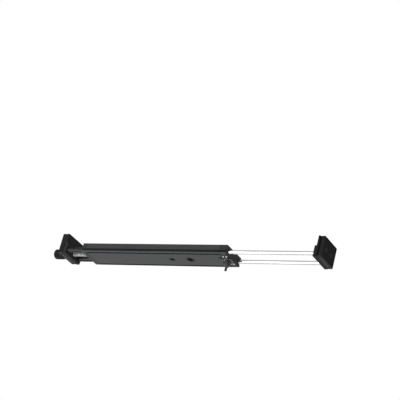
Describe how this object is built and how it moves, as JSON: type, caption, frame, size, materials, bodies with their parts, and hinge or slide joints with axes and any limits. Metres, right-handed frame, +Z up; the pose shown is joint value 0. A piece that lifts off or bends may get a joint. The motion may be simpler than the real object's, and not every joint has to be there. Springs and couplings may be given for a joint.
{
  "type": "tablet tripod mount",
  "caption": "Clamp bar for a tripod head: a dovetail rail with a jaw on locking slide rods at one end and a screw-drawn jaw with a knob at the other, to hold a tablet or slim laptop.",
  "frame": {"origin": "middle of the dovetail rail's foot face, half way along the bar and across it", "axes": "+X along the bar towards the jaw on slide rods, +Y across the bar, +Z up from the foot towards the device"},
  "size_m": [0.3871, 0.038, 0.038],
  "materials": {
    "anodised_charcoal": "satin dark charcoal anodising",
    "black_anodised": "satin black anodising",
    "bright_steel": "polished",
    "stainless": "satin",
    "blackened_steel": "satin black oxide",
    "black_rubber": "matte",
    "brass": "machined",
    "black_polymer": "fine moulded grain"
  },
  "bodies": {
    "bar": {"rail": "anodised_charcoal", "left_end_cap": "anodised_charcoal", "lock_block": "anodised_charcoal", "lead_nut": "brass", "small_thread_bush": "blackened_steel", "large_thread_bush": "blackened_steel", "top_strip_near": "black_rubber", "top_strip_far": "black_rubber", "left_cap_screw_near": "blackened_steel", "left_cap_screw_far": "blackened_steel", "tongue_screw_near": "blackened_steel", "tongue_screw_far": "blackened_steel", "rod_wiper_near": "black_polymer", "rod_wiper_far": "black_polymer"},
    "right_jaw": {"right_jaw_plate": "black_anodised", "right_jaw_pad": "black_rubber", "right_rod_near": "bright_steel", "right_rod_far": "bright_steel", "rod_stop_near": "blackened_steel", "rod_stop_far": "blackened_steel", "stop_screw_near": "blackened_steel", "stop_screw_far": "blackened_steel", "right_pad_screw_near": "blackened_steel", "right_pad_screw_far": "blackened_steel", "right_grub_screw_near": "blackened_steel", "right_grub_screw_far": "blackened_steel"},
    "left_jaw": {"left_jaw_plate": "black_anodised", "left_jaw_pad": "black_rubber", "thrust_washer": "stainless", "left_guide_near": "black_anodised", "left_guide_far": "black_anodised", "left_pad_screw_near": "blackened_steel", "left_pad_screw_far": "blackened_steel", "left_grub_screw_near": "blackened_steel", "left_grub_screw_far": "blackened_steel"},
    "lead_screw_and_knob": {"lead_screw": "bright_steel", "adjusting_knob": "black_anodised", "knob_set_screw": "blackened_steel", "retaining_clip": "blackened_steel"},
    "clamp": {"clamp_plate": "black_anodised", "lock_washer": "stainless", "plate_set_screw_near": "stainless", "plate_set_screw_far": "stainless", "plate_end_screw_near": "stainless", "plate_end_screw_far": "stainless"},
    "wing_screw": {"lock_screw": "blackened_steel", "lock_wing": "black_polymer"}
  },
  "joints": [
    {"name": "right_jaw_slide", "type": "slide", "parent": "bar", "child": "right_jaw", "axis": [1, 0, 0], "range_m": [-0.112, 0.02]},
    {"name": "left_jaw_slide", "type": "slide", "parent": "bar", "child": "left_jaw", "axis": [1, 0, 0], "range_m": [-0.008, 0.02]},
    {"name": "lead_screw_turn", "type": "hinge", "parent": "left_jaw", "child": "lead_screw_and_knob", "pos_m": [-0.1412, 0, 0.0048], "axis": [1, 0, 0], "range_deg": [-3600, 9000]},
    {"name": "clamp_plate_slide", "type": "slide", "parent": "bar", "child": "clamp", "axis": [0, 0, 1], "range_m": [-0.00035, 0]},
    {"name": "lock_screw_turn", "type": "hinge", "parent": "clamp", "child": "wing_screw", "pos_m": [0.099, 0, -0.001], "axis": [0, 0, 1], "range_deg": [-180, 0]}
  ],
  "couplings": [
    {"joint": "lead_screw_turn", "follows": "left_jaw_slide", "rad_per_m": 7854},
    {"joint": "lock_screw_turn", "follows": "clamp_plate_slide", "rad_per_m": 8976}
  ]
}
